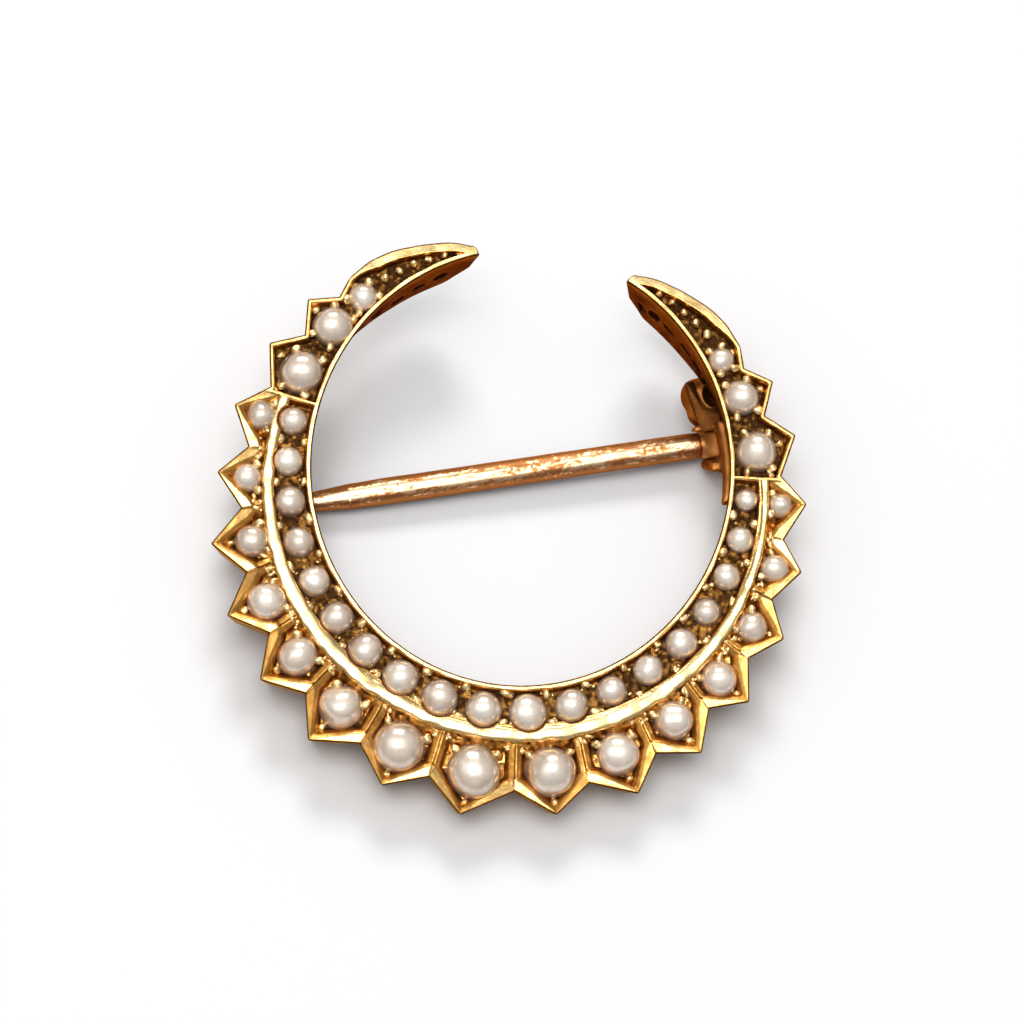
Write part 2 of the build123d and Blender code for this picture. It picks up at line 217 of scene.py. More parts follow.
def once(change, angle):
    """0 before a named change round the crescent, 1 when it is done, smooth between."""
    start, run = CHANGES[change]
    return step_up(angle - start, run)


def drawn_in(angle, height):
    """Angles near the horns' tips moved back from them: most at the back, and more on the right."""
    away, on_right = np.abs(angle), angle > 0
    depth = np.clip((front - height) / front, 0, 1.4)
    level = (0.2 + 0.3 * on_right) * once("horn is drawn in", away)
    backward = (2.0 + 1.0 * on_right) * depth**1.5 * once("tip is drawn in", away)
    return angle - np.sign(angle) * (level + backward)


def pearl_table():
    """Every pearl: node name, plan position and radius."""
    pearls = []
    for index, row in enumerate(SETTINGS):
        for side, share in ((-1, row.left_pearl), (1, row.right_pearl)):
            if index or side > 0:
                spot = place(side * row.pearl_angle, row.seat * crescent_width)
                pearls.append((pearl_name(side, index), spot, share * middle_pearl_diameter / 2))
    # Each inner pearl is as large as its share of the pitch and the gap allow
    turn = sin(radians(INNER_PITCH / 2))
    for side, shares in ((-1, INNER_LEFT), (1, INNER_RIGHT)):
        for step in range(0 if side < 0 else 1, len(shares)):
            start = rim_reach(step * INNER_PITCH) + inner_row_margin
            radius = shares[step] * (start * turn - inner_pearl_gap / 2) / (1 - shares[step] * turn)
            name = f"pearl_inner_{len(INNER_LEFT) + side * step:02d}"
            pearls.append((name, place(side * step * INNER_PITCH, inner_row_margin + radius), radius))
    return pearls


pearls = pearl_table()


def noise(x, y, size, seed):
    """Smooth noise from -1 to 1 over the plan, with lumps of about this size."""
    count, shift = 128, 640.5
    lattice = np.random.default_rng(seed).uniform(-1, 1, (count, count))
    u, v = x / size + shift, y / size + shift
    i, j = np.floor(u).astype(int), np.floor(v).astype(int)
    fu, fv = step_up(u - i, 1), step_up(v - j, 1)
    low, high = [lattice[i % count, k % count] * (1 - fu) + lattice[(i + 1) % count, k % count] * fu
                 for k in (j, j + 1)]
    return low * (1 - fv) + high * fv


def line_side(x, y, start, end):
    """Distance of plan points from a line, positive on the centre's side."""
    (x0, y0), (x1, y1) = start, end
    length = hypot(x1 - x0, y1 - y0)
    side = ((x1 - x0) * (y - y0) - (y1 - y0) * (x - x0)) / length
    centre = (-(x1 - x0) * y0 + (y1 - y0) * x0) / length
    return side if centre > 0 else -side


def ray_reach(angle, start, end):
    """Distance from the centre at which rays at these angles meet a line."""
    (x0, y0), (x1, y1) = start, end
    sx, sy = np.sin(np.radians(angle)), -np.cos(np.radians(angle))
    return (x0 * (y1 - y0) - y0 * (x1 - x0)) / (sx * (y1 - y0) - sy * (x1 - x0))


class Cell:
    """One pointed setting of one side, between its two valleys."""

    def __init__(self, row, side, start, pearl, single):
        self.side, self.single = side, single
        self.spot, self.radius = pearl
        self.span = (start[0], row.valley_angle)
        reach = row.left_reach if side < 0 else row.right_reach
        self.point = place(side * row.point_angle, reach * crescent_width)
        self.valleys = (place(side * start[0], start[1] * crescent_width),
                        place(side * row.valley_angle, row.valley_reach * crescent_width))
        self.lines = [(self.valleys[0], self.point), (self.point, self.valleys[1])]
        chance = np.random.default_rng(int(self.point[0] * 100) % 997)
        self.lean = chance.uniform(-most_lean, most_lean, 2)

    def holds(self, angle):
        """Whether each angle lies between the two valleys."""
        along = self.side * angle
        return (along >= self.span[0]) & (along <= self.span[1])

    def edge(self, x, y):
        """How far plan points lie inside the setting's two sides."""
        return np.minimum(*[line_side(x, y, start, end) for start, end in self.lines])

    def reach(self, angle):
        """Distance from the centre to the two sides, with a soft corner between them."""
        first, second = [ray_reach(angle, start, end) for start, end in self.lines]
        near = np.maximum(corner_blend - np.abs(first - second), 0)
        return np.minimum(first, second) - near**2 / (4 * corner_blend)


pearl_at = {name: (spot, radius) for name, spot, radius in pearls}
cells = []
for side in (-1, 1):
    start = (-SETTINGS[0].valley_angle, SETTINGS[0].valley_reach)
    for index, row in enumerate(SETTINGS):
        if index or side > 0:
            cells.append(Cell(row, side, start, pearl_at[pearl_name(side, index)], index >= outer_settings))
        start = (row.valley_angle, row.valley_reach)


def horn_beyond(angle):
    """Outer edge of the plain horn as a smooth curve through its table, rounded off at its tip."""
    away = np.abs(angle)
    angles = [row[0] for row in HORN_EDGE]
    reach = [row[1] * crescent_width for row in HORN_EDGE]
    slopes = np.gradient(reach, angles)
    index = np.clip(np.searchsorted(angles, away) - 1, 0, len(angles) - 2)
    before, after = np.take(angles, index), np.take(angles, index + 1)
    span = after - before
    t = np.clip((away - before) / span, 0, 1)
    value = ((2 * t**3 - 3 * t**2 + 1) * np.take(reach, index)
             + (t**3 - 2 * t**2 + t) * span * np.take(slopes, index)
             + (3 * t**2 - 2 * t**3) * np.take(reach, index + 1)
             + (t**3 - t**2) * span * np.take(slopes, index + 1))
    past = np.clip((away - angles[-1]) / (horn_tip - angles[-1]), 0, 1)
    return np.where(away > angles[-1], reach[-1] * np.sqrt(np.maximum(1 - past**2, 0)), value)


def outer_reach(angle):
    """Distance from the centre to the outline, for an array of angles."""
    reach = rim_reach(angle) + horn_beyond(angle)
    for cell in cells:
        reach = np.where(cell.holds(angle), cell.reach(angle), reach)
    return reach


def ridge_half(angle):
    """Half the polished ridge's width, narrower up the sides and most up the right."""
    return 0.32 - 0.09 * once("ridge slims", np.abs(angle)) - 0.07 * once("right ridge slims", angle)


def ragged_half(angle, x, y):
    """Half the ridge's width with its worn, uneven edges."""
    return ridge_half(angle) * (1 + 0.16 * noise(x, y, 0.42, 21))


def ridge_reach_in(angle):
    """How far the ridge's inner side runs towards the inner row."""
    return 0.44 - 0.19 * once("ridge steps back", np.abs(angle))


def sunk_setting(angle, beyond, x, y, cell):
    """Depth of a sunk setting and its staining, with painted shade and highlights: thin tilted rims,
    sloping walls, facets at its neighbours.
    """
    edge = cell.edge(x, y)
    sides = [hypot(*(cell.point - valley)) for valley in cell.valleys]
    to_valley = np.clip(np.hypot(x - cell.point[0], y - cell.point[1]) / min(sides), 0, 1)
    rim = point_rim + (valley_rim - point_rim) * to_valley**1.3 + 0.02 * noise(x, y, 0.5, 1)
    past_rim = edge - rim
    past_ridge = beyond - ridge_beyond(angle) - ragged_half(angle, x, y)
    from_line = np.full_like(x, far_off)
    for end in cell.span:
        root, far = place(cell.side * end, 0.0), place(cell.side * end, crescent_width)
        from_line = np.minimum(from_line, np.abs(line_side(x, y, root, far)))
    lumps, streaks = noise(x, y, 0.17, 2), noise(x, y, 0.12, 8)
    beside_middle = cell.span[0] > 0
    lower = line_side(x, y, *cell.lines[0]) < line_side(x, y, *cell.lines[1])
    lower = lower & beside_middle

    # The shallowest counts: the outer wall behind its rim, the facets or the slope under the ridge
    lean = np.where(lower, lower_rim_tilt, rim_tilt) + 0.03 * noise(x, y, 0.4, 23)
    out_drop = lean * np.minimum(edge, rim) + np.interp(past_rim, (0, 0.16, 0.42), (0, 0.08, pocket_depth))
    line_drop = np.interp(from_line, (0, facet_width, facet_width + 0.14), (0.04, 0.18, pocket_depth))
    ridge_drop = np.interp(past_ridge, (0, 0.08, 0.5), (0, 0.14, pocket_depth))
    ridge_drop = ridge_drop - 0.07 * lumps * (past_ridge > 0.08)
    drop = np.minimum(np.minimum(out_drop, line_drop), ridge_drop)

    # Darker inside the rim and most where the pocket is deepest, and the facets darker at their foot:
    # painted shade in the recess, under streaky staining.
    stain_and_painted_light = 0.40 * step_up(past_rim, 0.05) + 0.45 * step_up(drop - 0.26, 0.16) + 0.10 * streaks
    facet = (line_drop <= np.minimum(out_drop, ridge_drop)) * step_up(past_rim, 0.04)
    facet_foot = step_up(from_line - facet_width + 0.05, 0.05)
    stain_and_painted_light = np.where(facet > 0.5, 0.40 + 0.16 * streaks + 0.16 * facet_foot, stain_and_painted_light)
    slope = (ridge_drop <= np.minimum(out_drop, line_drop)) * step_up(past_ridge, 0.05)
    stain_and_painted_light = np.where(slope > 0.5, 0.52 - 0.42 * lumps, stain_and_painted_light)
    groove = np.exp(-(from_line / groove_width) ** 2) * step_up(past_rim, 0.06) * step_up(past_ridge, 0.1)
    drop = drop + groove_depth * groove
    stain_and_painted_light = np.maximum(stain_and_painted_light, 0.85 * groove)
    # A painted highlight on the lower rims beside the middle, and painted shade on the upper ones, fading
    # out up the sides.
    on_rim = (1 - step_up(past_rim, 0.05)) * beside_middle
    upper_rim_painted_shade = 0.26 * (1 - once("rims brighten", np.abs(angle)))
    stain_and_painted_light = stain_and_painted_light + on_rim * np.where(lower, -0.30, upper_rim_painted_shade)
    on_ridge = past_ridge < 0
    return np.where(on_ridge, 0, drop), np.where(on_ridge, 0, stain_and_painted_light)


def settings_relief(angle, beyond, x, y):
    """Each point's distance from the outline, and the height and staining, with painted shade and
    highlights, of the outer row's settings.
    """
    away = np.abs(angle)
    ridge = ridge_beyond(angle)
    width = outer_reach(angle) - rim_reach(angle)
    tip_room = (horn_tip - away) * mm_per_degree
    edge = np.where(away > SETTINGS[-1].valley_angle, np.minimum(width - beyond, tip_room), far_off)
    height = np.full_like(x, front)
    stain_and_painted_light = np.zeros_like(x)
    for cell in cells:
        here = cell.holds(angle)
        edge = np.where(here, cell.edge(x, y), edge)
        if not cell.single:
            sunk = here & (away < ridge_end) & (beyond > ridge)
            drop, its_stain_and_painted_light = sunk_setting(angle, beyond, x, y, cell)
            tilt = cell.lean[0] * (x - cell.spot[0]) + cell.lean[1] * (y - cell.spot[1])
            tilted = front - drop + tilt * step_up(beyond - ridge - ridge_half(angle), 0.3)
            height = np.where(sunk, tilted, height)
            stain_and_painted_light = np.where(sunk, its_stain_and_painted_light, stain_and_painted_light)
    return edge, height, stain_and_painted_light


def inner_channel(angle, beyond, x, y, bright_rim):
    """How far inside the inner row's channel each point is; its outer side follows the pearls."""
    channel = np.minimum(beyond - bright_rim, ridge_beyond(angle) - ridge_reach_in(angle) - beyond)
    for name, (cx, cy), radius in pearls:
        if "inner" in name:
            round_seat = radius + seat_gap - np.hypot(x - cx, y - cy)
            channel = np.maximum(channel, np.minimum(round_seat, beyond - bright_rim))
    return np.minimum(channel, (ridge_end - np.abs(angle)) * mm_per_degree)


def horn_channel(away, edge, beyond, x, y, bright_rim):
    """How far inside a horn's channel each point is; its outer rim widens to the bevel."""
    wall = wall_width + 0.02 + (bevel_width - wall_width) * once("horn rim widens", away)
    wall = wall + 0.015 * noise(x, y, 0.35, 3) * (away > 134)
    from_end = (away - ridge_end - end_wall) * mm_per_degree
    return np.minimum(np.minimum(beyond - bright_rim, edge - wall), from_end)


def relief(angle, beyond, x, y):
    """Height of the crescent's front, and at each point its staining with painted shade, below 0 where it
    is polished or has a painted highlight.
    """
    away = np.abs(angle)
    ridge = ridge_beyond(angle)
    in_rows = away < ridge_end
    bright_rim = rim_width + 0.02 * noise(x, y, 0.9, 1)
    edge, height, stain_and_painted_light = settings_relief(angle, beyond, x, y)

    # The crowned ridge, and the land that slopes from it to the inner row's channel
    pocket = np.where(in_rows, inner_channel(angle, beyond, x, y, bright_rim), -far_off)
    from_ridge = np.abs(beyond - ridge) / ragged_half(angle, x, y)
    waves = 1 + 0.35 * noise(x, y, 0.8, 9)
    height = height + in_rows * ridge_crown * waves * np.clip(1 - from_ridge**4, 0, 1) * (pocket < 0)
    land = in_rows * (pocket < 0) * (beyond > bright_rim) * (beyond < ridge - ridge_half(angle))
    height = height - land * 0.10 * np.clip((ridge - ridge_half(angle) - beyond) / 0.2, 0, 1)

    pocket = np.where(away > ridge_end, horn_channel(away, edge, beyond, x, y, bright_rim), pocket)
    bevel = np.clip(1 - edge / bevel_width, 0, 1) * once("horn is bevelled", away)
    height = height - bevel * (0.03 + 0.015 * noise(x, y, 0.7, 24))

    depth = step_up(pocket, pocket_slope)
    floor = front - pocket_depth + 0.04 * noise(x, y, 0.13, 4) + 0.03 * noise(x, y, 0.3, 6)
    height = height * (1 - depth) + np.minimum(floor, height) * depth
    nearest_edge = np.minimum(edge, beyond)
    height = height - 0.06 * np.clip(1 - nearest_edge / edge_round, 0, 1) ** 2
    height = height + 0.014 * noise(x, y, 0.45, 5) * (1 - depth)

    # Channel floors darker the deeper they lie, partly grit and oxide, partly painted shade in the recess;
    # a dark band along every edge is painted shade.
    grit_and_recess_shade = 0.80 + 0.26 * noise(x, y, 0.16, 7) + 0.08 * (away > ridge_end)
    outline = 0.85 * (1 - step_up(nearest_edge - 0.05, 0.05))
    stain_and_painted_light = np.maximum(np.maximum(stain_and_painted_light, depth * grit_and_recess_shade), outline)
    # Paler on the ridge, the inner rim and the horns' bevels: partly real polish, partly painted highlight.
    ridge_polish_and_highlight = in_rows * step_up(1.1 - from_ridge, 0.3) * (0.85 + 0.4 * noise(x, y, 0.6, 18))
    rim_polish_and_highlight = 0.6 * (beyond < bright_rim) + (0.75 + 0.6 * noise(x, y, 0.5, 22)) * step_up(bevel, 0.3)
    polish_and_highlight = (pocket < 0) * np.maximum(ridge_polish_and_highlight, rim_polish_and_highlight) * (1 - step_up(outline, 0.3))
    return height, np.clip(stain_and_painted_light + full_polish_and_highlight * polish_and_highlight, full_polish_and_highlight, 1)


def new_object(name, data):
    """An object of this mesh, light or camera, in the scene."""
    obj = bpy.data.objects.new(name, data)
    bpy.context.scene.collection.objects.link(obj)
    return obj


def add_values(mesh, key, values):
    """Store one value per point on a mesh, for its material to read."""
    mesh.attributes.new(key, "FLOAT", "POINT").data.foreach_set("value", np.asarray(values, np.float32))


def set_materials(mesh, *materials):
    """Give a mesh these materials alone."""
    mesh.materials.clear()
    for material in materials:
        mesh.materials.append(material)


def mesh_object(name, vertices, faces, material, **stored):
    """A smooth object from points of the crescent's frame, with stored values by name."""
    mesh = bpy.data.meshes.new(name)
    mesh.from_pydata(to_row(vertices).tolist(), [], faces)
    mesh.polygons.foreach_set("use_smooth", [True] * len(mesh.polygons))
    for key, values in stored.items():
        add_values(mesh, key, values)
    mesh.materials.append(material)
    return new_object(name, mesh)


def grid_faces(columns, rows):
    """Quads of a grid of points stored column by column."""
    start = (np.arange(columns - 1)[:, None] * rows + np.arange(rows - 1)[None]).reshape(-1)
    return np.stack([start, start + rows, start + rows + 1, start + 1], -1).tolist()


def relief_angles(first, last):
    """Angles of the columns, with one exactly at every point and valley."""
    corners = {first, last}
    for cell in cells:
        for x, y in (*cell.valleys, cell.point):
            corner = degrees(atan2(x, -y))
            if first < corner < last:
                corners.add(round(corner, 4))
    corners = sorted(corners)
    angles = [first]
    for low, high in zip(corners, corners[1:]):
        count = max(1, ceil((high - low) / degrees(grid_step / middle_reach)))
        angles += [low + (high - low) * k / count for k in range(1, count + 1)]
    return np.array(angles)


def wall_mottle(points):
    """Stain that comes and goes along the walls."""
    return 0.10 * noise(points[..., 0], points[..., 1] + points[..., 2], 0.8, 25)


def wall_lean(angles, heights):
    """How far the opening's wall leans outwards: at its foot most, and not on the horns."""
    return inner_lean * (front - heights) * (1 - once("wall stands up", np.abs(angles)))


def side_wall(angles, width, edge_heights, outer_side):
    """Points below one edge of the front down to the cut: the outer side tapers, the inner one leans."""
    rows = []
    for drop in wall_drops:
        heights = np.maximum(edge_heights - drop, cut_height - cut_overlap)
        if outer_side:
            beyond = outer_reach(angles) - rim_reach(angles)
            beyond = beyond - np.minimum(wall_taper * (front - heights[0]), width * most_inset)
        else:
            beyond = wall_lean(angles, heights)
        blunt = 0.4 * once("tip is blunt", np.abs(angles)) * (front - heights) / (front - cut_height)
        ends = drawn_in(angles, heights) - np.sign(angles) * blunt
        rows.append(np.column_stack([place(ends, beyond), heights]))
    return np.stack(rows, 1)


def front_piece(name, first, last):
    """Relief of one stretch of the crescent's front, with its two side walls down to the cut."""
    angles = relief_angles(first, last)
    width = np.maximum(outer_reach(angles) - rim_reach(angles), 0.004)
    steps = int(ceil(width.max() / grid_step))
    share = np.minimum(1, width / full_width)[:, None]
    low, high = past_edge_steps * share, width[:, None] - past_edge_steps * share
    beyond = np.concatenate([edge_steps * share, low + (high - low) * np.linspace(0, 1, steps + 1)[None],
                             width[:, None] - edge_steps[::-1] * share], 1)
    spread = np.repeat(angles[:, None], beyond.shape[1], 1)
    plan = place(spread, beyond)
    height, stain_and_painted_light = relief(spread, beyond, plan[..., 0], plan[..., 1])
    top = np.concatenate([place(drawn_in(spread, height), beyond), height[..., None]], -1)
    inner_wall = side_wall(angles, width, top[:, 0, 2], False)[:, ::-1]
    outer_wall = side_wall(angles, width, top[:, -1, 2], True)
    points = np.concatenate([inner_wall, top, outer_wall], 1)
    stain_and_painted_light = np.concatenate([wall_mottle(inner_wall) + inner_wall_stain_and_shade, stain_and_painted_light,
                            wall_mottle(outer_wall) + outer_wall_stain_and_shade], 1)
    obj = mesh_object(name, points.reshape(-1, 3), grid_faces(*points.shape[:2]), gold,
                      tarnish=stain_and_painted_light.reshape(-1))
    # The opening's wall rows take the darker gold, painted shade.
    obj.data.materials.append(shaded_warm_gold)
    in_row = np.arange(len(obj.data.polygons)) % (points.shape[1] - 1)
    obj.data.polygons.foreach_set("material_index", (in_row < len(wall_drops)).astype(int))
    return obj


def set_inputs(node, values):
    for name, value in values.items():
        node.inputs[name].default_value = value


def new_material(name):
    """A material with its node tree and its one shader."""
    material = bpy.data.materials.new(name)
    material.use_nodes = True
    tree = material.node_tree
    tree.nodes.clear()
    shader = tree.nodes.new("ShaderNodeBsdfPrincipled")
    output = tree.nodes.new("ShaderNodeOutputMaterial")
    tree.links.new(shader.outputs[0], output.inputs[0])
    return material, tree, shader


def place_in_mm(tree):
    """The object's own coordinates in millimetres."""
    scale = tree.nodes.new("ShaderNodeVectorMath")
    scale.operation = "SCALE"
    set_inputs(scale, {"Scale": 1 / MM})
    tree.links.new(tree.nodes.new("ShaderNodeTexCoord").outputs["Object"], scale.inputs[0])
    return scale.outputs[0]


def noise_node(tree, where, scale, detail=3.0, roughness=0.6):
    node = tree.nodes.new("ShaderNodeTexNoise")
    set_inputs(node, {"Scale": scale, "Detail": detail, "Roughness": roughness})
    tree.links.new(where, node.inputs["Vector"])
    return node.outputs["Fac"]


def ramp_node(tree, value, stops):
    """Colours that follow a value, from a table of positions and colours."""
    node = tree.nodes.new("ShaderNodeValToRGB")
    elements = node.color_ramp.elements
    while len(elements) < len(stops):
        elements.new(0.5)
    for element, (position, colour) in zip(elements, stops):
        element.position = position
        element.color = (*colour, 1)
    tree.links.new(value, node.inputs[0])
    return node.outputs[0]


def math_node(tree, operation, *values):
    node = tree.nodes.new("ShaderNodeMath")
    node.operation = operation
    for slot, value in zip(node.inputs, values):
        if isinstance(value, (int, float)):
            slot.default_value = value
        else:
            tree.links.new(value, slot)
    return node.outputs[0]


def stored_value(tree, key):
    """The value that a mesh stores under this name."""
    node = tree.nodes.new("ShaderNodeAttribute")
    node.attribute_name = key
    return node.outputs["Fac"]


def add_bumps(tree, shader, strength, distance, height):
    """Let a noise lift a material's surface, by a distance in millimetres."""
    bump = tree.nodes.new("ShaderNodeBump")
    set_inputs(bump, {"Strength": strength, "Distance": distance * MM})
    tree.links.new(height, bump.inputs["Height"])
    tree.links.new(bump.outputs[0], shader.inputs["Normal"])


def grey(value):
    return (value, value, value)


def metal_material(name, pale, bright, middle, dark, base_tarnish, gloss, grazing):
    """Worn metal: darker, browner and rougher where the stored value is high, as staining and painted
    shade, paler below zero, as polishing and painted highlights.
    """
    material, tree, shader = new_material(name)
    where = place_in_mm(tree)
    patch_share, grain_share = 0.30, 0.22
    patches, grains = noise_node(tree, where, 1.6), noise_node(tree, where, 9.0, 4.0)
    shift = math_node(tree, "MULTIPLY_ADD", patches, patch_share, base_tarnish - patch_share / 2)
    shift = math_node(tree, "MULTIPLY_ADD", grains, grain_share, shift)
    shift = math_node(tree, "ADD", shift, -grain_share / 2)
    amount = math_node(tree, "ADD", stored_value(tree, "tarnish"), shift)
    amount = math_node(tree, "MULTIPLY_ADD", amount, 0.75, 0.25)
    colour = ramp_node(tree, amount, [(0.0, pale), (0.25, bright), (0.56, middle), (0.96, dark)])
    tree.links.new(colour, shader.inputs["Base Color"])
    rough = ramp_node(tree, amount, [(0.25, grey(gloss)), (0.59, grey(gloss + 0.14)), (0.96, grey(0.62))])
    tree.links.new(rough, shader.inputs["Roughness"])
    set_inputs(shader, {"Metallic": 1.0, "Specular Tint": (*grazing, 1)})
    add_bumps(tree, shader, 0.55, 0.022, noise_node(tree, where, 6.5, 5.0, 0.65))
    return material


gold = metal_material(
    "gold", pale=(1.0, 0.78, 0.38), bright=(1.0, 0.64, 0.23), middle=(0.60, 0.28, 0.06),
    dark=(0.075, 0.032, 0.010), base_tarnish=0.06, gloss=0.2, grazing=(0.95, 0.7, 0.4))
# A darker, redder copy of the gold for the opening's walls and the hinge parts: its darkness is painted
# shade.
shaded_warm_gold = metal_material(
    "shaded_warm_gold", pale=(0.98, 0.62, 0.28), bright=(0.92, 0.46, 0.15), middle=(0.46, 0.17, 0.04),
    dark=(0.05, 0.015, 0.005), base_tarnish=0.12, gloss=0.32, grazing=(0.6, 0.28, 0.1))
# A paler, glossier copy of the gold for the grains: partly polished beads, partly painted highlight.
bead_gold = metal_material(
    "bead_gold", pale=(1.0, 0.82, 0.46), bright=(1.0, 0.70, 0.28), middle=(0.72, 0.42, 0.12),
    dark=(0.12, 0.055, 0.02), base_tarnish=0.0, gloss=0.36, grazing=(0.95, 0.7, 0.4))
rose_gold = metal_material(
    "rose_gold", pale=(1.0, 0.76, 0.46), bright=(0.98, 0.64, 0.36), middle=(0.58, 0.24, 0.08),
    dark=(0.10, 0.025, 0.010), base_tarnish=0.06, gloss=0.27, grazing=(0.8, 0.4, 0.2))


def pearl_material():
    """Nacre: creamy pink, paler where it faces the camera and darker, greyer at its edges, as painted
    highlight and shade, with faint clouds and a clear gloss.
    """
    material, tree, shader = new_material("nacre")
    where = place_in_mm(tree)
    facing = tree.nodes.new("ShaderNodeLayerWeight")
    set_inputs(facing, {"Blend": 0.42})
    clouds = noise_node(tree, where, 1.6, 4.0)
    # Paler where the pearl faces the camera, a painted highlight, and darker, browner towards its edges, a
    # painted shade, with clouds and each pearl's own tone.
    amount = math_node(tree, "MULTIPLY_ADD", clouds, 0.6, -0.28)
    amount = math_node(tree, "ADD", amount, facing.outputs["Facing"])
    amount = math_node(tree, "ADD", amount, stored_value(tree, "tone"))
    colour = ramp_node(tree, amount, [(0.0, (0.98, 0.86, 0.73)), (0.38, (0.68, 0.52, 0.39)),
                                      (0.80, (0.19, 0.10, 0.05))])
    tree.links.new(colour, shader.inputs["Base Color"])
    set_inputs(shader, {
        "Metallic": 0.4, "Roughness": 0.30, "IOR": 1.65, "Sheen Weight": 0.15,
        "Subsurface Weight": 0.15, "Subsurface Radius": (0.4 * MM, 0.25 * MM, 0.18 * MM),
        "Coat Weight": 0.9, "Coat Roughness": 0.17, "Coat IOR": 2.2})
    add_bumps(tree, shader, 0.6, 0.045, noise_node(tree, where, 2.4, 3.0))
    return material


nacre = pearl_material()

# Front relief in five stretches, from valley to valley: name, first and last angle
STRETCHES = [("bottom", -46.3, 46.3), ("left", -97.8, -46.3), ("right", 46.3, 97.8),
             ("left_horn", -horn_tip, -97.8), ("right_horn", 97.8, horn_tip)]
for word, first, last in STRETCHES:
    piece = front_piece(f"crescent_front_{word}", first, last)
    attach(piece, "brooch")
    if word == "bottom":
        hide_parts("crescent")


# One source of chance for the dents, in the order in which they are made
dice = np.random.default_rng(7)


def ball(rings, segments):
    """Unit sphere: points and faces."""
    points, faces = [(0, 0, 1)], []
    turns = [2 * pi * k / segments for k in range(segments)]
    for ring in range(1, rings):
        polar = pi * ring / rings
        points += [(sin(polar) * cos(turn), sin(polar) * sin(turn), cos(polar)) for turn in turns]
    points.append((0, 0, -1))
    for k in range(segments):
        after = (k + 1) % segments
        faces.append((0, 1 + k, 1 + after))
        for ring in range(rings - 2):
            near, far = 1 + ring * segments, 1 + (ring + 1) * segments
            faces.append((near + k, far + k, far + after, near + after))
        base = 1 + (rings - 2) * segments
        faces.append((base + k, len(points) - 1, base + after))
    return np.array(points), faces


def dented(points, amount):
    """Unit sphere points pushed in and out by a few soft waves."""
    waves = sum(amount * np.sin(points @ dice.normal(0, 2.2, 3) + dice.uniform(0, 2 * pi))
                for _ in range(3))
    return points * (1 + waves)[:, None]


def turned(points, turn):
    """Points turned about the crescent's upward direction."""
    return points @ np.array([[cos(turn), sin(turn), 0], [-sin(turn), cos(turn), 0], [0, 0, 1]])


def joined(shapes, unit_faces):
    """Points and faces of one mesh of many shapes made from one ball."""
    size = len(shapes[0])
    faces = [tuple(index * size + k for k in face) for index in range(len(shapes)) for face in unit_faces]
    return np.concatenate(shapes), faces


def hollow_spots():
    """Irregular hollows in the back of the horns' inner walls: plan angle, centre and radii."""
    chance = np.random.default_rng(21)
    spots = []
    for side in (-1, 1):
        angle = hollows_start
        while angle < hollows_end:
            length = chance.uniform(0.16, 0.42) * (1 + (angle - hollows_start) / hollows_double)
            angle += degrees((length + 0.06) / half_width)
            centre = np.array([*place(side * angle, 0.0), chance.uniform(0.45, 1.05)])
            radii = (length, chance.uniform(0.14, 0.32), chance.uniform(0.18, 0.40))
            spots.append((side * angle, centre, radii))
            angle += degrees((length + chance.uniform(0.05, 0.5)) / half_width)
    return spots


def hollow_cutter():
    unit, unit_faces = ball(10, 16)
    shapes = [turned(dented(unit, 0.08) * radii, radians(angle)) + centre
              for angle, centre, radii in hollow_spots()]
    return mesh_object("hollow_cutter", *joined(shapes, unit_faces), gold)


def box_cutter(centre, sides):
    """A box in the crescent's frame, from its centre and three half sides."""
    signs = [(i, j, k) for i in (-1, 1) for j in (-1, 1) for k in (-1, 1)]
    corners = [centre + sum(sign * side for sign, side in zip(row, sides)) for row in signs]
    faces = [(0, 1, 3, 2), (4, 6, 7, 5), (0, 4, 5, 1), (2, 3, 7, 6), (0, 2, 6, 4), (1, 5, 7, 3)]
    return mesh_object("box_cutter", np.array(corners), faces, gold)


def welded(node):
    """A copy of a CAD node's mesh with its corners joined, as an object."""
    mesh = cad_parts[node].data.copy()
    form = bmesh.new()
    form.from_mesh(mesh)
    bmesh.ops.remove_doubles(form, verts=form.verts, dist=weld_distance)
    form.to_mesh(mesh)
    form.free()
    return new_object(f"{node}_copy", mesh)


def cut_with(obj, operation, cutter):
    cut = obj.modifiers.new(cutter.name, "BOOLEAN")
    cut.operation, cut.solver, cut.object = operation, "EXACT", cutter


def settled(obj, helpers):
    """The object's mesh with its modifiers applied; the object and its helpers are removed."""
    depsgraph = bpy.context.evaluated_depsgraph_get()
    mesh = bpy.data.meshes.new_from_object(obj.evaluated_get(depsgraph))
    for spent in [obj, *helpers]:
        bpy.data.objects.remove(spent)
    return mesh


def egg_forms(name, forms):
    """Egg shapes placed from the hinge, as one object."""
    unit, unit_faces = ball(16, 24)
    shapes = [(hinge_spot + np.array(row[:3]) @ hinge_axes) + (unit * row[3:]) @ hinge_axes
              for row in forms]
    return mesh_object(name, *joined(shapes, unit_faces), shaded_warm_gold)


def remeshed(obj, name):
    """Add an even new mesh to the object's modifiers."""
    remesh = obj.modifiers.new(name, "REMESH")
    remesh.mode, remesh.voxel_size = "VOXEL", voxel * MM


